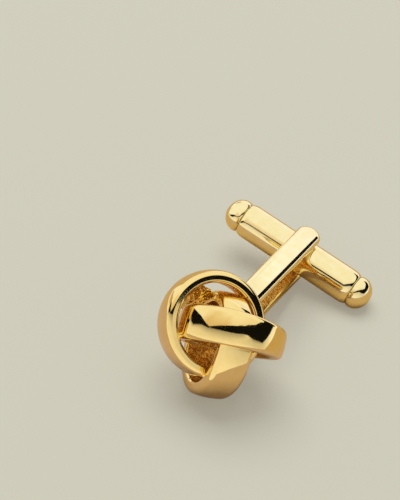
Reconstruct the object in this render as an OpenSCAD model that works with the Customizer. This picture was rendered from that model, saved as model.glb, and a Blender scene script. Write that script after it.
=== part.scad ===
// Knot cufflink with a swivelling toggle, lying on a flat surface.
// Millimetres, +Z up, the surface is Z = 0. The knot's face looks towards -Y.

/* [Knot] */
// Outer radius of each of the three hoops
hoop_r = 6; // [5.5:0.05:6.5]
// Width of a hoop's band, along the hoop's own axis
hoop_w = 3.7; // [3.4:0.05:4.0]
// Thickness of a hoop's band at its middle
hoop_t = 1.22; // [1.18:0.02:1.5]
// How much lower the domed outer face is at its shoulders than at its middle
hoop_crown = 0.22; // [0.1:0.02:0.32]
// Rounding of the outer edges
hoop_edge_r = 0.6; // [0.3:0.05:0.65]
// Rounding of the inner edges
hoop_inner_r = 0.16; // [0.1:0.02:0.2]
// Angle between a hoop's axis and the knot's axis
hoop_tilt = 52; // [48:0.5:56]
// How far a hoop's centre stands off the knot's axis, towards its lobe
hoop_shift = 1.4; // [1.1:0.05:1.7]
// How far a hoop's centre is drawn back across the knot's axis
hoop_draw = 0.3; // [0:0.05:0.6]
// Turn of the knot on the post; at 60 one lobe stands in line with the pivot pin
knot_turn = 56; // [45:0.5:70]

/* [Post] */
// Distance from the pivot to the knot's centre
post_l = 21.3; // [20:0.1:23]
// Width of each arm
arm_w = 2.9; // [2.5:0.1:3.2]
// Thickness of each arm
arm_t = 1.3; // [1.1:0.05:1.6]
// Gap between the two arms
arm_gap = 4.24; // [4.2:0.02:4.6]
// Rounding of the arms' long edges
arm_edge_r = 0.55; // [0.2:0.05:0.6]
// Thickness of the bridge that joins the arms behind the knot
bridge_t = 1.4; // [1.0:0.1:1.8]
// Distance from the knot's centre to the arms' soldered ends
arm_stop = 4.6; // [4.3:0.1:4.8]
// Distance from the knot's centre to the bridge's outer face
bridge_stop = 5.9; // [5.7:0.1:6.2]

/* [Pivot] */
// Diameter of the hidden pin
pin_d = 1.6; // [1.2:0.1:1.8]
// Depth of the blind hole in each arm
pin_seat = 0.85; // [0.6:0.05:0.95]
// Radial gap round the pin in the arms
pin_gap = 0.02; // [0.01:0.01:0.04]
// Radial running clearance of the toggle on the pin
pin_play = 0.05; // [0.02:0.01:0.08]

/* [Toggle] */
// Diameter of the barrel
bar_d = 4.1; // [3.8:0.05:4.12]
// Length of the toggle over both end caps
bar_l = 19.6; // [18:0.1:21]
// Length of each domed end cap
cap_l = 2.2; // [1.8:0.1:2.6]
// Diameter of each domed end cap
cap_d = 3.86; // [3.6:0.02:3.9]
// Rounding of the barrel's shoulders
shoulder_r = 0.5; // [0.3:0.05:0.7]
// Rounding of an end cap's rim
cap_rim_r = 0.3; // [0.1:0.05:0.5]
// Gap left between barrel and end cap, which shows as a fine groove
groove_w = 0.06; // [0.04:0.01:0.15]
// Diameter of an end cap's peg
peg_d = 2.4; // [2.0:0.1:2.6]
// Length of an end cap's peg
peg_l = 2.0; // [1.5:0.1:3]

/* [Resting pose] */
// Rise of the post from the pivot to the knot, in degrees
lie_rise = 10.07; // [8:0.01:13]
// Roll about the post that brings the toggle's right end down, in degrees
lie_roll = 12.08; // [10:0.01:15]
// Height of the pivot's centre above the surface
pivot_z = 3.556; // [3:0.001:5]
// Sideways place of the pivot's centre
pivot_x = 0; // [-2:0.001:2]
// Lengthwise place of the pivot's centre
pivot_y = 12.225; // [8:0.001:16]

/* [Hidden] */

GOLD = [0.93, 0.76, 0.36];
HOOP_COUNT = 3;
CROWN_STEPS = 8;
EDGE_STEPS = 5;
RIM_STEPS = 3;
DOME_STEPS = 14;
LINK = 0.2;
$fn = 96;

hoop_half_w = hoop_w / 2;
hoop_inner = hoop_r - hoop_t;
// Radius of the dome's arc, from its fall at the point where the shoulder begins
crown_reach = hoop_half_w - hoop_edge_r;
crown_r = (pow(crown_reach, 2) + pow(hoop_crown, 2)) / (2 * hoop_crown);
crown_c = hoop_r - crown_r;
// Centre of the shoulder's arc, which meets the dome's arc without a corner
edge_c_r = crown_c + sqrt(pow(crown_r - hoop_edge_r, 2) - pow(crown_reach, 2));
edge_turn = asin(crown_reach / (crown_r - hoop_edge_r));

pin_r = pin_d / 2;
pin_half_l = arm_gap / 2 + pin_seat;
arm_mid = (arm_gap + arm_t) / 2;
arm_end = post_l - arm_stop;
bridge_y = post_l - bridge_stop;
bar_half = bar_l / 2 - cap_l - groove_w;

// Points of an arc from one angle to another
function arc(cx, cy, r, from, to, steps) =
    [for (i = [0:steps]) let (a = from + (to - from) * i / steps) [cx + r * cos(a), cy + r * sin(a)]];

// Section of a hoop's band: x is the distance from the hoop's axis, y runs along that axis
function band_points() = concat(
    arc(hoop_inner + hoop_inner_r, -hoop_half_w + hoop_inner_r, hoop_inner_r, 180, 270, RIM_STEPS),
    arc(edge_c_r, -crown_reach, hoop_edge_r, -90, -edge_turn, EDGE_STEPS),
    [for (i = [1:CROWN_STEPS - 1]) let (a = edge_turn * (2 * i / CROWN_STEPS - 1))
        [crown_c + crown_r * cos(a), crown_r * sin(a)]],
    arc(edge_c_r, crown_reach, hoop_edge_r, edge_turn, 90, EDGE_STEPS),
    arc(hoop_inner + hoop_inner_r, hoop_half_w - hoop_inner_r, hoop_inner_r, 90, 180, RIM_STEPS)
);

// Places a shape drawn round the pivot, post towards -Y and toggle along X, as the object lies
module at_rest() {
    translate([pivot_x, pivot_y, pivot_z])
        rotate([-lie_rise, 0, 0])
            rotate([0, lie_roll, 0])
                children();
}

// One round hoop, tilted and shifted off the knot's axis
module hoop() {
    translate([-hoop_draw, 0, 0])
        rotate([0, hoop_tilt, 0])
            translate([0, hoop_shift, 0])
                rotate_extrude($fn = 180) polygon(band_points());
}

// Three hoops that each pass over the next one, with their axis along Z
module knot() {
    for (i = [0:HOOP_COUNT - 1])
        rotate([0, 0, knot_turn + 360 / HOOP_COUNT * i]) hoop();
}

// Section of an arm: x across its width, y through its thickness
module arm_section() {
    x = arm_w / 2 - arm_edge_r;
    y = arm_t / 2 - arm_edge_r;
    polygon(concat(
        arc(x, y, arm_edge_r, 0, 90, EDGE_STEPS),
        arc(-x, y, arm_edge_r, 90, 180, EDGE_STEPS),
        arc(-x, -y, arm_edge_r, 180, 270, EDGE_STEPS),
        arc(x, -y, arm_edge_r, 270, 360, EDGE_STEPS)
    ));
}

// One arm: a flat bar with rounded edges and a round end about the pivot
module arm() {
    rotate([90, 0, 0]) linear_extrude(arm_end) arm_section();
    rotate_extrude(angle = 180) intersection() {
        arm_section();
        translate([0, -arm_t]) square([arm_w, arm_t * 2]);
    }
}

// Two arms and the bridge between them, with a blind hole for the pin inside each arm
module post() {
    difference() {
        union() {
            for (s = [-1, 1]) translate([0, 0, s * arm_mid]) arm();
            translate([-arm_w / 2, -bridge_y - bridge_t, -arm_gap / 2 - LINK])
                cube([arm_w, bridge_t, arm_gap + 2 * LINK]);
        }
        cylinder(h = 2 * pin_half_l, r = pin_r + pin_gap, center = true);
    }
}

// The knot and the stirrup-shaped post soldered to its back, one piece of metal
module knot_and_post() {
    color(GOLD) at_rest() {
        translate([0, -post_l, 0]) rotate([90, 0, 0]) knot();
        post();
    }
}

// The plain pin, which ends inside the arms
module pivot_pin() {
    color(GOLD) at_rest() cylinder(h = 2 * (pin_half_l - pin_gap), r = pin_r, center = true);
}

// Round barrel with rounded shoulders, bored across for the pin and in each end for a cap's peg
module toggle_barrel() {
    r = bar_d / 2;
    c = bar_half - shoulder_r;
    color(GOLD) at_rest() difference() {
        rotate([0, 90, 0]) rotate_extrude() polygon(concat(
            [[0, -bar_half]],
            arc(r - shoulder_r, -c, shoulder_r, -90, 0, EDGE_STEPS),
            arc(r - shoulder_r, c, shoulder_r, 0, 90, EDGE_STEPS),
            [[0, bar_half]]
        ));
        for (s = [-1, 1])
            rotate([0, s * 90, 0]) translate([0, 0, bar_half - peg_l])
                cylinder(h = peg_l + shoulder_r, r = peg_d / 2 + pin_gap);
        cylinder(h = bar_d + 1, r = pin_r + pin_play, center = true);
    }
}

// Domed cap with a peg, drawn with its dome towards +Z and its rim at Z = 0
module end_cap() {
    r = cap_d / 2;
    rotate_extrude() polygon(concat(
        [[0, -peg_l + groove_w], [peg_d / 2, -peg_l + groove_w], [peg_d / 2, 0]],
        arc(r - cap_rim_r, cap_rim_r, cap_rim_r, -90, 0, RIM_STEPS),
        [for (i = [1:DOME_STEPS]) let (a = 90 * i / DOME_STEPS)
            [r * cos(a), cap_rim_r + (cap_l - cap_rim_r) * sin(a)]]
    ));
}

module end_cap_left() {
    color(GOLD) at_rest() rotate([0, -90, 0]) translate([0, 0, bar_half + groove_w]) end_cap();
}

module end_cap_right() {
    color(GOLD) at_rest() rotate([0, 90, 0]) translate([0, 0, bar_half + groove_w]) end_cap();
}

knot_and_post();
pivot_pin();
toggle_barrel();
end_cap_left();
end_cap_right();
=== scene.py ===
"""Knot cufflink lying on a pale surface: fine meshes, gold materials, light and camera."""

import math

import bpy
import numpy as np
from mathutils import Matrix, Vector, noise


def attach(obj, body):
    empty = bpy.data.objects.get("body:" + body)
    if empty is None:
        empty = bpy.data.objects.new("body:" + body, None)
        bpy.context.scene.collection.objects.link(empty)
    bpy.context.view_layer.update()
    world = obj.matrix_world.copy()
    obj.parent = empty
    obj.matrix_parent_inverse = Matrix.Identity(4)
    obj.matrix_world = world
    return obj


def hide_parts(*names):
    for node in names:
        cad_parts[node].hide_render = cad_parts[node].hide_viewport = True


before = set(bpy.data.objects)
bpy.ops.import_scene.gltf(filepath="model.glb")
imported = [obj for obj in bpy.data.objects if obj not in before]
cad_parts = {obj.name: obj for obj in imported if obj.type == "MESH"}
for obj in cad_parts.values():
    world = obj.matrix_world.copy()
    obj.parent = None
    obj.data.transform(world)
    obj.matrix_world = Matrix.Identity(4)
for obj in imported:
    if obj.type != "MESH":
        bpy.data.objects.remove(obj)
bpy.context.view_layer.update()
MM = 0.001

# Sizes in millimetres and degrees, as the solids have them, but with fuller and softer hoops
# Hoops: outer radius, the band's width and thickness, and how far its face falls at the shoulders
HOOP_R, HOOP_W, HOOP_T, HOOP_CROWN = 6.05, 3.7, 1.42, 0.11
# Rounding of a band's outer and inner edges, and of the seam where two hoops cross
HOOP_EDGE_R, HOOP_INNER_R, FILLET = 0.58, 0.36, 0.35
# A hoop's tilt, its shift towards its lobe, its draw back across the axis, and the knot's turn
HOOP_TILT, HOOP_SHIFT, HOOP_DRAW, KNOT_TURN = 52, 1.4, 0.3, 56
# Slight waves of a hoop's upper edge, lower edge and radius round its turn: (cosine, sine)
UPPER_WAVE, LOWER_WAVE, ROUND_WAVE = (-0.3, -0.13), (-0.34, 0.12), (-0.03, 0.05)
# How many hoops there are, and the steps round one
HOOPS, HOOP_STEPS = 3, 320
# Post: length from pivot to knot, an arm's width and thickness, and the gap between the arms
POST_L, ARM_W, ARM_T, ARM_GAP = 21.3, 2.9, 1.3, 4.24
# An arm's outer and inner faces are flat this far from their middle, and then curve to its sides
OUTER_FLAT, INNER_FLAT = 0.72, 0.5
# The bridge's thickness, and the distances from the knot's centre to the arms' ends and the bridge
BRIDGE_T, ARM_STOP, BRIDGE_STOP = 1.4, 4.6, 5.9
# Toggle: the barrel's diameter, the length over both caps, and a cap's length and diameter
BAR_D, BAR_L, CAP_L, CAP_D = 4.1, 19.6, 2.2, 3.86
# The groove between barrel and cap: its depth, the length of its two slopes, and the open seam
GROOVE_DEPTH, BAR_SLOPE, CAP_SLOPE, GROOVE_W = 0.34, 1.0, 0.5, 0.06
# Thickness of the metal left between the hoops
WEB_T = 0.5
# How the cufflink lies: its rise towards the knot, its roll, and the pivot's place
LIE_RISE, LIE_ROLL = 10.07, 12.08
PIVOT = Vector((0, 12.225, 3.556))

POLISHED, CAST = 0, 1
TINY = 1e-9


def turn_about(axis):
    """The matrix of a turn about an axis, as a function of the angle in degrees."""
    return lambda degrees: Matrix.Rotation(math.radians(degrees), 4, axis)


SHIFT = Matrix.Translation
TURN_X, TURN_Y, TURN_Z = (turn_about(axis) for axis in "XYZ")
AT_REST = SHIFT(PIVOT) @ TURN_X(-LIE_RISE) @ TURN_Y(LIE_ROLL)
# A section's rows of place and normal, times this, are their mirror image
MIRRORED = [1, -1, 1, -1]


# Mesh helpers. A part is its points, normals, faces, and a material number for all or each face.
def arc(cx, cy, r, start, end, steps):
    """(x, y, normal x, normal y) rows along an arc."""
    a = np.radians(np.linspace(start, end, steps + 1))
    return np.stack([cx + r * np.cos(a), cy + r * np.sin(a), np.cos(a), np.sin(a)], 1)


def line(x0, y0, x1, y1, nx, ny, steps):
    """(x, y, normal x, normal y) rows along a straight line."""
    t = np.linspace(0, 1, steps + 1)
    return np.stack([x0 + (x1 - x0) * t, y0 + (y1 - y0) * t, nx + 0 * t, ny + 0 * t], 1)


def unit(vectors):
    """The vectors at length 1."""
    return vectors / np.maximum(np.linalg.norm(vectors, axis=-1, keepdims=True), TINY)


def grid_faces(rows, columns, wrap_rows=False, wrap_columns=False):
    """Faces between neighbours of a grid of points, stored row by row."""
    faces = []
    for i in range(rows if wrap_rows else rows - 1):
        a, b = i * columns, (i + 1) % rows * columns
        for j in range(columns if wrap_columns else columns - 1):
            k = (j + 1) % columns
            faces.append((a + j, a + k, b + k, b + j))
    return faces


def moved(points, normals, matrix):
    """Points and normals where a matrix takes them."""
    m = np.array(matrix)
    return points @ m[:3, :3].T + m[:3, 3], normals @ m[:3, :3].T


def turned(r, z, nr, nz, angles):
    """Points and normals of (r, z) places turned about Z by each angle."""
    c, s = np.cos(angles), np.sin(angles)
    points = np.stack([r * c, r * s, z + 0 * c], -1).reshape(-1, 3)
    normals = np.stack([nr * c, nr * s, nz + 0 * c], -1).reshape(-1, 3)
    return points, normals


def uneven(points, *layers):
    """Smooth bumps at each point: the sum of layers, each a (height, length of a bump, seed)."""

    def layer(size, seed):
        return np.array([noise.noise(Vector((x / size + seed, y / size, z / size))) for x, y, z in points])

    return sum(height * layer(size, seed) for height, size, seed in layers)


def faces_in(points, normals, faces):
    """True if a part's faces are wound so that they look inwards, against its normals."""
    sides, every = 0, 7
    for face in faces[::every]:
        a, b, c = (points[k] for k in face[:3])
        sides += np.sign(np.cross(b - a, c - a) @ normals[face[0]])
    return sides < 0


def make(name, parts, materials, body, slot, *nodes):
    """Joins parts into one piece, puts it where the cufflink lies, ties it to its body, and hides the nodes
    it stands in for.
    """
    points, normals, faces, numbers, first = [], [], [], [], 0
    for part_points, part_normals, part_faces, number in parts:
        if faces_in(part_points, part_normals, part_faces):
            part_faces = [face[::-1] for face in part_faces]
        points.append(part_points)
        normals.append(part_normals)
        faces += [[first + k for k in face] for face in part_faces]
        numbers += number if isinstance(number, list) else [number] * len(part_faces)
        first += len(part_points)
    points, normals = moved(np.concatenate(points), np.concatenate(normals), AT_REST)
    mesh = bpy.data.meshes.new(name)
    mesh.from_pydata((points * MM).tolist(), [], faces)
    for material in materials:
        mesh.materials.append(material)
    mesh.polygons.foreach_set("material_index", numbers)
    mesh.shade_smooth()
    mesh.normals_split_custom_set_from_vertices(unit(normals).tolist())
    obj = bpy.data.objects.new(name, mesh)
    bpy.context.scene.collection.objects.link(obj)
    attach(obj, body)
    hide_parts(*nodes)


# The knot's hoops
def band_section():
    """The band's section as (r, z, normal r, normal z) rows, which rows are rough, and its half width."""
    face_steps, shoulder_steps, flat_steps, rounding_steps, inside_steps = 32, 12, 4, 7, 18
    reach = HOOP_W / 2 - HOOP_EDGE_R
    inner = HOOP_R - HOOP_T
    s = np.linspace(-1, 1, face_steps + 1)
    face = np.stack([HOOP_R - HOOP_CROWN * s ** 2, s * reach, 1 + 0 * s, 2 * HOOP_CROWN / reach * s], 1)
    face[:, 2:] = unit(face[:, 2:])
    r, z, nr, nz = face[-1]
    start = math.degrees(math.atan2(nz, nr))
    shoulder = arc(r - HOOP_EDGE_R * nr, z - HOOP_EDGE_R * nz, HOOP_EDGE_R, start, 90, shoulder_steps)
    side = shoulder[-1, 1]
    rounding = arc(inner + HOOP_INNER_R, side - HOOP_INNER_R, HOOP_INNER_R, 90, 180, rounding_steps)
    flat = line(shoulder[-1, 0], side, rounding[0, 0], side, 0, 1, flat_steps)
    upper = np.concatenate([shoulder[1:], flat[1:-1], rounding])
    inside = line(inner, rounding[-1, 1], inner, -rounding[-1, 1], -1, 0, inside_steps)[1:-1]
    rows = np.concatenate([face, upper, inside, upper[::-1] * MIRRORED])
    first = len(face) + len(upper)
    rough = np.zeros(len(rows), bool)
    rough[first - 2:first + len(inside) + 2] = True
    return rows, rough, side


SECTION, ROUGH, SIDE = band_section()


def waves(u):
    """How far the upper edge, the lower edge and the radius stray at angle u round a hoop."""
    upper, lower = (a * np.cos(u) + b * np.sin(u) for a, b in (UPPER_WAVE, LOWER_WAVE))
    return upper, lower, ROUND_WAVE[0] * np.cos(2 * u) + ROUND_WAVE[1] * np.sin(2 * u)


def shift_z(z, upper, lower):
    """Spreads the waves of a band's two edges over its width."""
    f = np.clip(z / SIDE, -1, 1)
    return np.where(f > 0, upper * f * (1 + f) / 2, lower * f)


def hoop_place(i):
    """Where hoop i stands, as the matrix that takes it there from round the Z axis."""
    lobe = TURN_Z(KNOT_TURN + 360 / HOOPS * i) @ SHIFT((-HOOP_DRAW, 0, 0)) @ TURN_Y(HOOP_TILT)
    return SHIFT((0, -POST_L, 0)) @ TURN_X(90) @ lobe @ SHIFT((0, HOOP_SHIFT, 0))


def hoop_points(i):
    """Points and normals of hoop i, row by row round its turn."""
    u = np.linspace(0, 2 * math.pi, HOOP_STEPS, endpoint=False)[:, None]
    r, z, nr, nz = (SECTION[None, :, k] for k in range(4))
    upper, lower, out = waves(u)
    return moved(*turned(r + out, z + shift_z(z, upper, lower), nr, nz, u), hoop_place(i))


def hoop_distance(points, i):
    """Distance of each point from hoop i's surface, less than 0 inside it, and the normal there."""
    m = np.array(hoop_place(i))
    local = (points - m[:3, 3]) @ m[:3, :3]
    u = np.arctan2(local[:, 1], local[:, 0])
    upper, lower, out = waves(u)
    r = np.hypot(local[:, 0], local[:, 1]) - out
    z = local[:, 2] - shift_z(local[:, 2], upper, lower)
    here = np.stack([r, z], 1)
    best, sign, normal = np.full(len(here), np.inf), np.zeros(len(here)), np.zeros((len(here), 2))
    for start, end in zip(SECTION, np.roll(SECTION, -1, axis=0)):
        edge = end[:2] - start[:2]
        t = np.clip(((here - start[:2]) @ edge) / max(edge @ edge, TINY), 0, 1)[:, None]
        gap = here - start[:2] - t * edge
        edge_normal = start[2:] + t * (end[2:] - start[2:])
        distance = np.linalg.norm(gap, axis=1)
        nearer = distance < best
        best = np.where(nearer, distance, best)
        sign = np.where(nearer, np.where((gap * edge_normal).sum(1) < 0, -1, 1), sign)
        normal = np.where(nearer[:, None], edge_normal, normal)
    out_of_hoop = np.stack([normal[:, 0] * np.cos(u), normal[:, 0] * np.sin(u), normal[:, 1]], 1)
    return best * sign, unit(out_of_hoop) @ m[:3, :3].T


def blended(points, normals, i, j):
    """Moves hoop i's points, step by step, onto a smooth fillet between it and hoop j."""
    rounds, longest_step = 5, 0.1
    for _ in range(rounds):
        own, own_normal = hoop_distance(points, i)
        other, other_normal = hoop_distance(points, j)
        closeness = np.clip(1 - np.abs(own - other) / FILLET, 0, 1)
        height = np.minimum(own, other) - closeness * closeness * FILLET / 4
        share = np.where(own < other, closeness / 2, 1 - closeness / 2)[:, None]
        normals = unit(own_normal * (1 - share) + other_normal * share)
        points = points - np.clip(height, -longest_step, longest_step)[:, None] * normals
    return points, normals


def roughened(points, normals, seed):
    """Dents in the rough inner face of a hoop, which fade out towards its edges."""
    half_rows = 10
    pick = np.nonzero(np.tile(ROUGH, HOOP_STEPS))[0]
    dents = uneven(points[pick], (0.07, 0.75, seed), (0.035, 0.28, 9 + seed))
    from_middle = np.abs(np.arange(len(ROUGH)) - np.nonzero(ROUGH)[0].mean()) / half_rows
    fade = 1 - np.tile(np.minimum(from_middle, 1), HOOP_STEPS)[pick] ** 4
    points[pick] += normals[pick] * (dents * fade)[:, None]
    return points


def knot_parts():
    """Hoops whose surfaces flow into each other where they cross, each with a rough inner face."""
    # points deeper than this inside another hoop can't be seen, and stay where they are
    buried = -0.12
    rows = len(SECTION)
    number = [CAST if ROUGH[k] and ROUGH[(k + 1) % rows] else POLISHED for k in range(rows)] * HOOP_STEPS
    parts = []
    for i in range(HOOPS):
        points, normals = hoop_points(i)
        others = [j for j in range(HOOPS) if j != i]
        for j, distance in [(j, hoop_distance(points, j)[0]) for j in others]:
            pick = np.nonzero((distance > buried) & (distance < FILLET))[0]
            points[pick], normals[pick] = blended(points[pick], normals[pick], i, j)
        points = roughened(points, normals, i)
        parts.append((points, normals, grid_faces(HOOP_STEPS, rows, True, True), number))
    return parts


def smooth_normals(points, faces):
    """Each point's normal from the faces round it."""
    normals = np.zeros_like(points)
    for face in faces:
        a, b, c, d = (points[k] for k in face)
        n = np.cross(c - a, d - b)
        for k in face:
            normals[k] += n
    return unit(normals)


def web_reach(centre, ray, reach):
    """How far a web grows along a ray: into the first hoop, or a part of its reach if there is none."""
    sink, open_share = 0.2, 0.72
    first_step, step = 0.2, 0.04
    steps = np.arange(first_step, reach, step)
    depth = np.min([hoop_distance(centre + steps[:, None] * ray, i)[0] for i in range(HOOPS)], axis=0)
    inside = np.nonzero(depth < -sink)[0]
    return steps[inside[0]] if len(inside) else reach * open_share


def web(centre, along, across, reach, seed, number):
    """Metal left between the hoops by the casting: a lumpy plate that grows until it meets them."""
    turns, rings = 72, 14
    rim_passes, rim_slack = 3, 0.12
    middle_hole, back_share = 0.02, 0.12
    centre, along, across = (np.array(v) for v in (centre, along, across))
    angles = np.linspace(0, 2 * math.pi, turns, endpoint=False)
    rays = [along * math.cos(a) + across * math.sin(a) for a in angles]
    ends = np.array([web_reach(centre, ray, reach) for ray in rays])
    # a ray that reaches much further than its neighbours is drawn back
    for _ in range(rim_passes):
        ends = np.minimum(ends, (np.roll(ends, 1) + np.roll(ends, -1)) / 2 + rim_slack)
    out = unit(np.cross(along, across))
    front = [(k, 1) for k in range(rings)]
    points = []
    for k, side in front + [(k, -side) for k, side in front[::-1]]:
        # the innermost ring is a tiny one, so that no face shrinks to nothing
        t = min((k + middle_hole) / (rings - 1), 1)
        half = side * WEB_T / 2 * math.sqrt(1 - t ** 3)
        points += [centre + ray * end * t + out * half for ray, end in zip(rays, ends)]
    points = np.array(points)
    bumps = uneven(points, (0.3, 1.1, seed), (0.16, 0.45, seed + 3), (0.07, 0.2, seed + 5))
    # the side towards the knot's back is smoother
    bumps[len(bumps) // 2:] *= back_share
    points += out * bumps[:, None]
    faces = grid_faces(2 * rings, turns, False, True)
    return points, smooth_normals(points, faces), faces, number


# The post
def arm_quarter(flat):
    """From the middle of a flat face, round a soft edge, to the middle of the arm's side."""
    edge_steps, flat_steps = 18, 6
    reach, height = ARM_W / 2 - flat, ARM_T / 2
    t = np.linspace(0, math.pi / 2, edge_steps + 1)
    x, y = np.sin(t), np.cos(t)
    n = unit(np.stack([x / reach, y / height], 1))
    edge = np.stack([flat + reach * x, height * y, n[:, 0], n[:, 1]], 1)
    return np.concatenate([edge[::-1], line(flat, height, 0, height, 0, 1, flat_steps)[1:]])


def arm(side):
    """A flat bar with rounded edges and a round end about the pivot. Its inner face is left as cast."""
    steps, end_steps, cast_depth = 96, 40, 0.12
    mid = side * (ARM_GAP + ARM_T) / 2
    length = POST_L - ARM_STOP
    # half a section from the middle of the inner face to the middle of the outer one
    half = np.concatenate([arm_quarter(INNER_FLAT)[::-1] * MIRRORED, arm_quarter(OUTER_FLAT)[1:]])
    if side < 0:
        half = half[::-1] * MIRRORED
    # columns run along one long edge, round the end and back along the other
    path = [(1, -length + length * i / steps, 0) for i in range(steps)]
    path += [(math.cos(a), 0, math.sin(a)) for a in np.linspace(0, math.pi, end_steps + 1)]
    path += [(-1, -length * (i + 1) / steps, 0) for i in range(steps)]
    x, z, nx, nz = half.T
    points = np.concatenate([np.stack([x * c, y + x * s, mid + z], 1) for c, y, s in path])
    normals = np.concatenate([np.stack([nx * c, nx * s, nz], 1) for c, _, s in path])
    faces = grid_faces(len(path), len(half))
    inner = points[:, 2] * side < abs(mid) - ARM_T / 2 + cast_depth
    dents = np.abs(uneven(points[inner], (0.035, 0.7, side), (0.02, 0.25, side)))
    points[inner] -= normals[inner] * dents[:, None]
    number = [CAST if all(inner[k] for k in face) else POLISHED for face in faces]
    return points, normals, faces, number


def bridge():
    """The bar between the arms' ends, left as cast."""
    edge_r, overlap = 0.3, 0.3
    edge_steps, wide_steps, narrow_steps, length_steps = 5, 14, 6, 24
    y = -(POST_L - BRIDGE_STOP) - BRIDGE_T / 2
    x, depth = ARM_W / 2 - edge_r, BRIDGE_T / 2 - edge_r
    middles = [(x, depth), (-x, depth), (-x, -depth), (x, -depth)]
    edges = [arc(*middle, edge_r, 90 * k, 90 * (k + 1), edge_steps) for k, middle in enumerate(middles)]
    # each rounded edge, and the flat side from it to the next
    rows = []
    for k, edge in enumerate(edges):
        start, end = edge[-1], edges[(k + 1) % len(edges)][0]
        steps = narrow_steps if k % 2 else wide_steps
        rows += [edge, line(*start[:2], *end[:2], *start[2:], steps)[1:-1]]
    rows = np.concatenate(rows)
    half = ARM_GAP / 2 + overlap
    heights = np.linspace(-half, half, length_steps + 1)
    points = np.concatenate([np.stack([rows[:, 0], y + rows[:, 1], z + 0 * rows[:, 0]], 1) for z in heights])
    normals = np.tile(np.stack([rows[:, 2], rows[:, 3], 0 * rows[:, 2]], 1), (len(heights), 1))
    points -= normals * np.abs(uneven(points, (0.04, 0.6, 4), (0.02, 0.24, 5)))[:, None]
    return points, normals, grid_faces(len(heights), len(rows), False, True), CAST


# The toggle
def lathe(rows, matrix):
    """Turns (radius, height, normals) rows about Z."""
    steps = 144
    u = np.linspace(0, 2 * math.pi, steps, endpoint=False)[None, :]
    points, normals = turned(*(rows[:, k][:, None] for k in range(4)), u)
    return *moved(points, normals, matrix), grid_faces(len(rows), steps, False, True), POLISHED


def slope(r0, r1, z0, length, steps):
    """A quarter of an ellipse from radius r0 at the groove up to r1, and level there."""
    a = np.linspace(0, math.pi / 2, steps + 1)
    rise = r1 - r0
    n = unit(np.stack([np.sin(a) / rise, -np.cos(a) / length], 1))
    return np.stack([r0 + rise * np.sin(a), z0 + length * (1 - np.cos(a)), n[:, 0], n[:, 1]], 1)


def disc(z):
    """The flat end of the barrel or a cap inside the groove, with a tiny hole in its middle."""
    hole, steps = 0.01, 2
    return line(hole, z, BAR_D / 2 - GROOVE_DEPTH, z, 0, -1, steps)


def barrel():
    """The toggle's round bar, which slopes down into the groove at each end."""
    slope_steps, middle_steps = 16, 40
    half, r = BAR_L / 2 - CAP_L - GROOVE_W / 2, BAR_D / 2
    end = np.concatenate([disc(-half), slope(r - GROOVE_DEPTH, r, -half, BAR_SLOPE, slope_steps)])
    middle = line(r, -half + BAR_SLOPE, r, half - BAR_SLOPE, 1, 0, middle_steps)[1:-1]
    return lathe(np.concatenate([end, middle, end[::-1] * MIRRORED]), TURN_Y(90))


def cap(side):
    """A domed end cap, drawn with its dome towards +Z and a hole too small to see at its tip."""
    hole, slope_steps, dome_steps = 0.001, 10, 32
    r, reach = CAP_D / 2, CAP_L - CAP_SLOPE
    start = slope(BAR_D / 2 - GROOVE_DEPTH, r, 0, CAP_SLOPE, slope_steps)
    a = np.linspace(0, math.pi / 2, dome_steps + 1)[1:]
    n = unit(np.stack([np.cos(a) * reach, np.sin(a) * r], 1))
    dome = np.stack([r * np.cos(a) + hole, CAP_SLOPE + reach * np.sin(a), n[:, 0], n[:, 1]], 1)
    place = TURN_Y(side * 90) @ SHIFT((0, 0, BAR_L / 2 - CAP_L))
    return lathe(np.concatenate([disc(0), start, dome]), place)


# Materials
class Nodes:
    """A material's node tree, with short ways to add a node, set its inputs and link them."""

    def __init__(self, name):
        self.material = bpy.data.materials.new(name)
        self.material.use_nodes = True
        self.tree = self.material.node_tree
        self.shader = self.tree.nodes["Principled BSDF"]

    def add(self, kind, settings=(), **inputs):
        """A node. Its inputs are given by name, or by number as i0, i1 and so on."""
        node = self.tree.nodes.new("ShaderNode" + kind)
        for key, value in settings:
            setattr(node, key, value)
        for key, value in inputs.items():
            socket = int(key[1:]) if key[1:].isdigit() else key
            self.put(node.inputs[socket], value)
        return node

    def put(self, socket, value):
        if hasattr(value, "is_output"):
            self.tree.links.new(value, socket)
        else:
            socket.default_value = value

    def place(self, scale=(1000, 1000, 1000), rotation=(0, 0, 0)):
        """The object's own coordinates, in millimetres unless another scale is given."""
        own = self.add("TexCoord").outputs["Object"]
        return self.add("Mapping", Vector=own, Rotation=rotation, Scale=scale).outputs[0]

    def noise(self, vector, scale, detail=2.0, rough=0.5):
        """Smooth noise from 0 to 1. A higher scale gives smaller lumps."""
        return self.add("TexNoise", Vector=vector, Scale=scale, Detail=detail, Roughness=rough).outputs["Fac"]

    def ranged(self, value, low, high, to_low, to_high):
        """The value, stretched from one range to another."""
        return self.add("MapRange", i0=value, i1=low, i2=high, i3=to_low, i4=to_high).outputs[0]

    def mixed(self, fac, a, b):
        """Colour a where fac is 0, and b where it is 1."""
        return self.add("Mix", [("data_type", "RGBA")], i0=fac, i6=a, i7=b).outputs[2]

    def math(self, operation, a, b):
        return self.add("Math", [("operation", operation)], i0=a, i1=b).outputs[0]


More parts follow.
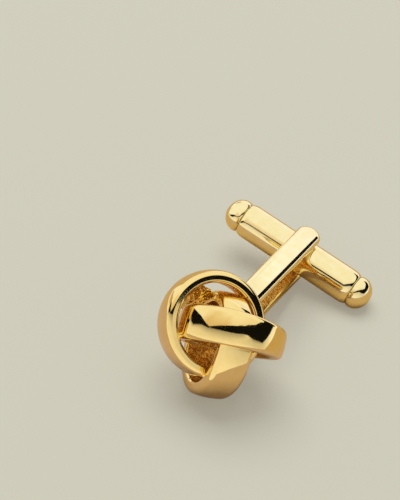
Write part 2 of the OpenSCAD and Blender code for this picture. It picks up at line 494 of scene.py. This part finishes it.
def polished_gold(name, base, deep, rough):
    """Mirror-polished plate: faint waves, hairline scratches, cloudy gloss and slightly worn spots."""
    m = Nodes(name)
    mm = m.place()
    swell, cloud = m.noise(mm, 0.45, 1.0), m.noise(mm, 1.1, 3.0, 0.6)
    specks = m.noise(mm, 14.0, 2.0, 0.6)
    hairs_a = m.noise(m.place((900, 26000, 900), (0.3, 0.5, 0.9)), 1.0, 1.0)
    hairs_b = m.noise(m.place((700, 700, 30000), (1.2, 0.2, -0.6)), 1.0, 1.0)
    hair = m.math("MAXIMUM", m.ranged(hairs_a, 0.66, 0.72, 0, 1), m.ranged(hairs_b, 0.68, 0.74, 0, 1))
    m.put(m.shader.inputs["Base Color"], m.mixed(m.ranged(cloud, 0.35, 0.7, 0, 1), (*base, 1), (*deep, 1)))
    cloudy = m.ranged(cloud, 0.3, 0.75, rough * 0.7, rough * 1.5)
    worn = m.math("ADD", cloudy, m.ranged(specks, 0.62, 0.8, 0, 0.05))
    m.put(m.shader.inputs["Roughness"], m.math("ADD", worn, m.math("MULTIPLY", hair, 0.06)))
    m.shader.inputs["Metallic"].default_value = 1
    waved = m.add("Bump", Height=swell, Strength=1.0, Distance=6e-6).outputs[0]
    marks = m.math("ADD", specks, hair)
    fine = m.add("Bump", Height=marks, Strength=0.25, Distance=4e-7, Normal=waved)
    m.put(m.shader.inputs["Normal"], fine.outputs[0])
    return m.material


def cast_gold(name, base, deep):
    """Plated metal left as it was cast: glossy pits, ridges and file marks."""
    m = Nodes(name)
    mm = m.place()
    lump, grain = m.noise(mm, 2.2, 3.0, 0.6), m.noise(mm, 7.0, 3.0, 0.6)
    files = m.noise(m.place((1300, 6000, 1300), (0.4, 0.3, 0.2)), 1.0, 2.0)
    m.put(m.shader.inputs["Base Color"], m.mixed(m.ranged(lump, 0.38, 0.62, 0, 1), (*deep, 1), (*base, 1)))
    m.put(m.shader.inputs["Roughness"], m.ranged(grain, 0.3, 0.7, 0.1, 0.26))
    m.shader.inputs["Metallic"].default_value = 1
    coarse = m.add("Bump", Height=lump, Strength=1.0, Distance=2.4e-4)
    filed = m.add("Bump", Height=files, Strength=0.8, Distance=8e-5, Normal=coarse.outputs[0])
    fine = m.add("Bump", Height=grain, Strength=0.8, Distance=6e-5, Normal=filed.outputs[0])
    m.put(m.shader.inputs["Normal"], fine.outputs[0])
    return m.material


def paper():
    """Plain paper. Where the metal mirrors it, it is painted darker and browner as painted shade, and golden
    brown near the toggle as a painted reflection.
    """
    m = Nodes("paper")
    fibre = m.noise(m.place(), 3.0, 4.0)
    seen = m.mixed(fibre, (0.5, 0.485, 0.4, 1), (0.51, 0.495, 0.408, 1))
    # painted shade: the floor as the metal mirrors it is darker and browner than it is seen
    painted_mirrored_floor = m.mixed(fibre, (0.745, 0.575, 0.475, 1), (0.765, 0.59, 0.49, 1))
    lengthwise = m.add("SeparateXYZ", Vector=m.place((1, 1, 1))).outputs[1]
    # painted reflection: near the toggle the mirrored floor turns golden brown, a painted glow of gold under
    # the toggle
    toggle_reflection_share = m.ranged(lengthwise, -0.007, 0.006, 0, 1)
    painted_mirrored_floor = m.mixed(toggle_reflection_share, painted_mirrored_floor, (0.76, 0.55, 0.29, 1))
    by_camera = m.add("LightPath").outputs["Is Camera Ray"]
    m.put(m.shader.inputs["Base Color"], m.mixed(by_camera, painted_mirrored_floor, seen))
    # a little light of the floor's own keeps its shadows short and soft
    m.shader.inputs["Emission Color"].default_value = (0.25, 0.242, 0.2, 1)
    m.put(m.shader.inputs["Emission Strength"], by_camera)
    m.shader.inputs["Roughness"].default_value = 0.95
    m.shader.inputs["Specular IOR Level"].default_value = 0
    return m.material


def glow(name):
    """A light whose colour comes from the screen's own corners."""
    m = Nodes(name)
    m.tree.nodes.remove(m.shader)
    colour = m.add("Attribute", [("attribute_name", "glow")]).outputs["Color"]
    # what the metal throws back onto the floor is weak, so the shadows stay neutral
    strength = m.ranged(m.add("LightPath").outputs["Diffuse Depth"], 0, 1, 1, 0.25)
    emission = m.add("Emission", Color=colour, Strength=strength).outputs[0]
    m.put(m.tree.nodes["Material Output"].inputs["Surface"], emission)
    return m.material


# The pieces
KNOT_GOLD = polished_gold("gold_polished_knot", (0.98, 0.77, 0.32), (0.95, 0.72, 0.27), 0.045)
# painted highlight: the toggle and post get a paler copy of the knot's gold, which stands in for the brighter
# light on them
PAINTED_HIGHLIGHT_GOLD = polished_gold("gold_toggle_painted_highlight", (0.99, 0.865, 0.48), (0.96, 0.8, 0.38), 0.05)
# partly painted shade: the darker, deeper amber colour stands in for the shade inside the knot and between
# the arms, while the pits, ridges, file marks and gloss are the cast finish
CAST_GOLD_PAINTED_SHADE = cast_gold("gold_as_cast_painted_shade", (1.0, 0.68, 0.17), (0.66, 0.28, 0.025))
PIN_METAL = cast_gold("pin_metal", (0.85, 0.7, 0.4), (0.7, 0.5, 0.22))
KNOT_METALS, POST_METALS = [KNOT_GOLD, CAST_GOLD_PAINTED_SHADE], [PAINTED_HIGHLIGHT_GOLD, CAST_GOLD_PAINTED_SHADE]
# One web is seen through the upper left hoop, and the other below the front hoop's left end
WEBS = [
    web((-4.9, 2.9 - POST_L, 0.1), (0.75, 0.66, 0), (0, -0.2, 1.05), 3.0, 11, POLISHED),
    web((0.1, 2.6 - POST_L, -5.1), (0.95, 0.3, 0), (0, 0.3, 0.95), 1.7, 17, CAST),
]

make("knot_hoops", knot_parts(), KNOT_METALS, "head", "gold_polished", "knot_and_post")
make("cast_webs", WEBS, KNOT_METALS, "head", "gold_polished", "knot_and_post")
make("stirrup_post", [arm(-1), arm(1), bridge()], POST_METALS, "head", "gold_polished", "knot_and_post")
make("barrel", [barrel()], [PAINTED_HIGHLIGHT_GOLD], "toggle", "gold_polished", "toggle_barrel")
make("cap_left", [cap(-1)], [PAINTED_HIGHLIGHT_GOLD], "toggle", "gold_polished", "end_cap_left")
make("cap_right", [cap(1)], [PAINTED_HIGHLIGHT_GOLD], "toggle", "gold_polished", "end_cap_right")
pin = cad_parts["pivot_pin"]
pin.data.materials.clear()
pin.data.materials.append(PIN_METAL)


# Floor, screens and light. These are in metres.
def stage_mesh(name, points, faces, material):
    """A plain mesh that is part of the stage, not of the cufflink."""
    mesh = bpy.data.meshes.new(name)
    mesh.from_pydata(points, [], faces)
    mesh.materials.append(material)
    obj = bpy.data.objects.new(name, mesh)
    bpy.context.scene.collection.objects.link(obj)
    return obj


def screen(name, columns):
    """A curved wall round the cufflink. Each column is a list of (x, y, z, red, green, blue) rows."""
    corners = [row for column in columns for row in column]
    faces = grid_faces(len(columns), len(columns[0]), True)
    obj = stage_mesh(name, [corner[:3] for corner in corners], faces, glow(name))
    colours = obj.data.color_attributes.new("glow", "FLOAT_COLOR", "POINT")
    for datum, corner in zip(colours.data, corners):
        datum.color = (*corner[3:], 1)
    obj.visible_camera = False
    obj.visible_diffuse = False
    obj.visible_shadow = False


# The tent's columns: azimuth, distance in mm, and the dark slit's lower and upper elevation there
TENT = [
    (-110, 35, 4, 4), (-90, 40, 5, 11), (-60, 45, 17, 32), (-45, 43, 31, 36), (-30, 36, 37, 39),
    (0, 25, 45, 51), (15, 25, 46, 54), (30, 34, 46, 56), (45, 52, 45, 57), (60, 77, 40, 54),
    (72, 100, 29, 52), (90, 140, 13, 43), (110, 175, 10, 33), (145, 200, 6, 31), (160, 200, 12, 30),
    (175, 200, 30, 30), (208, 200, 18, 18), (217, 200, 14, 20), (225, 200, 12, 18), (235, 200, 14, 14),
    (250, 200, 14, 14),
]
ROOF, WHITE = 0.6, 0.97


def is_behind(azimuth):
    """True within 75 degrees of straight behind the cufflink, which is azimuth 180."""
    return abs(azimuth - 180) < 75


def lower_wall(azimuth):
    """(share of the wall's height, red, green, blue) rows: cool behind, and slightly warm elsewhere."""
    near_edge, faded_edge, bright_at = 0.84, 0.36, 60
    darker, from_azimuth, over = 0.22, 34, 36
    side = 1 - darker * min(max((azimuth - from_azimuth) / over, 0), 1)
    red, green, blue = (1.12, 1.12, 1.3) if is_behind(azimuth) else (side, side * 0.95, side * 0.9)
    edge = 1 if is_behind(azimuth) or azimuth == bright_at else faded_edge
    levels = [(0, 1), (0.5, 0.9), (0.76, near_edge), (0.88, (near_edge + edge) / 2), (1, edge)]
    return [(share, level * red, level * green, level * blue) for share, level in levels]


def upper_wall(azimuth, high):
    """(elevation, red, green, blue) rows, golden next to the slit except behind and far left."""
    pale_share, golden_end, full, top = 0.6, 62, 68, 76
    far_left, front = -50, 8
    if is_behind(azimuth) or azimuth < far_left:
        edge = 1
    else:
        edge = 0.78 if azimuth < front else 0.92
    golden, pale, white = (edge, edge ** 2, edge ** 3.5), (edge ** 0.5, edge, edge ** 1.7), (1, 1, 1)
    pale_at = high + (golden_end - high) * pale_share
    rows = [(high, golden), (pale_at, pale), (full, white), (top, white)]
    return [(elevation, *(WHITE * v for v in colour)) for elevation, colour in rows]


def tent():
    """A tent of light that only the metal shows: a lower wall, a dark slit, an upper wall and a roof."""
    lower, upper = [], []
    for azimuth, distance, low, high in TENT:
        angle, radius = math.radians(azimuth), distance * MM
        x, y = radius * math.sin(angle), -radius * math.cos(angle)
        height = radius * math.tan(math.radians(low))
        lower.append([(x, y, height * share, *colour) for share, *colour in lower_wall(azimuth)])
        wall = upper_wall(azimuth, high)
        column = [(x, y, radius * math.tan(math.radians(elevation)), *colour) for elevation, *colour in wall]
        upper.append(column + [(x, y, ROOF, WHITE, WHITE, WHITE), (0, 0, ROOF, WHITE, WHITE, WHITE)])
    screen("lower_screen", lower)
    screen("softbox", upper)


def lamp(name, place, size, power):
    """A soft lamp aimed at the cufflink. It lights the floor and doesn't show in the metal."""
    data = bpy.data.lights.new(name, "AREA")
    data.shape, data.size, data.energy = "DISK", size, power
    obj = bpy.data.objects.new(name, data)
    bpy.context.scene.collection.objects.link(obj)
    obj.location = place
    obj.rotation_euler = (-Vector(place)).to_track_quat("-Z", "Y").to_euler()
    obj.visible_glossy = False
    obj.visible_camera = False


def studio_world():
    """Pale behind the floor, a soft grey that lights the floor, and nearly black in the metal."""
    world = bpy.data.worlds.new("studio")
    bpy.context.scene.world = world
    world.use_nodes = True
    tree = world.node_tree
    ray = tree.nodes.new("ShaderNodeLightPath")
    shown = tree.nodes["Background"]
    shown.inputs["Color"].default_value = (0.006, 0.006, 0.006, 1)
    for kind, colour in (("Is Diffuse Ray", (0.3, 0.3, 0.3, 1)), ("Is Camera Ray", (0.631, 0.61, 0.503, 1))):
        background = tree.nodes.new("ShaderNodeBackground")
        background.inputs["Color"].default_value = colour
        mix = tree.nodes.new("ShaderNodeMixShader")
        tree.links.new(ray.outputs[kind], mix.inputs[0])
        tree.links.new(shown.outputs[0], mix.inputs[1])
        tree.links.new(background.outputs[0], mix.inputs[2])
        shown = mix
    tree.links.new(shown.outputs[0], tree.nodes["World Output"].inputs["Surface"])


FLOOR_HALF = 3
corners = [(x * FLOOR_HALF, y * FLOOR_HALF, 0) for x, y in ((-1, -1), (1, -1), (1, 1), (-1, 1))]
stage_mesh("floor", corners, [[0, 1, 2, 3]], paper())
tent()
lamp("key", (-0.2, 0.2, 0.85), 0.8, 4.5)
studio_world()
bpy.context.scene.view_settings.view_transform = "Standard"

# Camera, fitted to the photo, in pixels, metres and degrees. The pivot is seen at PIN_PX.
IMAGE_W, IMAGE_H, SENSOR = 400, 500, 36
FOCAL_PX, DISTANCE = 3905.13, 0.45113
AZIMUTH, ELEVATION, ROLL = 19.764, 41.5215, 9.7968
PIN_PX = (298.67, 253.966)
turn = TURN_Z(AZIMUTH) @ TURN_X(90 - ELEVATION) @ TURN_Z(ROLL)
backwards = turn.to_3x3() @ Vector((0, 0, 1))
# the fitted view looks straight at the pivot, so the camera turns until the pivot is off centre
pin_ray = Vector(((PIN_PX[0] - IMAGE_W / 2) / FOCAL_PX, (IMAGE_H / 2 - PIN_PX[1]) / FOCAL_PX, -1))
off_centre = pin_ray.normalized().rotation_difference(Vector((0, 0, -1))).to_matrix().to_4x4()
cam = bpy.data.objects.new("camera", bpy.data.cameras.new("camera"))
bpy.context.scene.collection.objects.link(cam)
cam.matrix_world = SHIFT(PIVOT * MM + backwards * DISTANCE) @ turn @ off_centre
cam.data.sensor_width = SENSOR
cam.data.lens = FOCAL_PX / IMAGE_H * SENSOR
cam.data.clip_start, cam.data.clip_end = 0.01, 10
bpy.context.scene.camera = cam
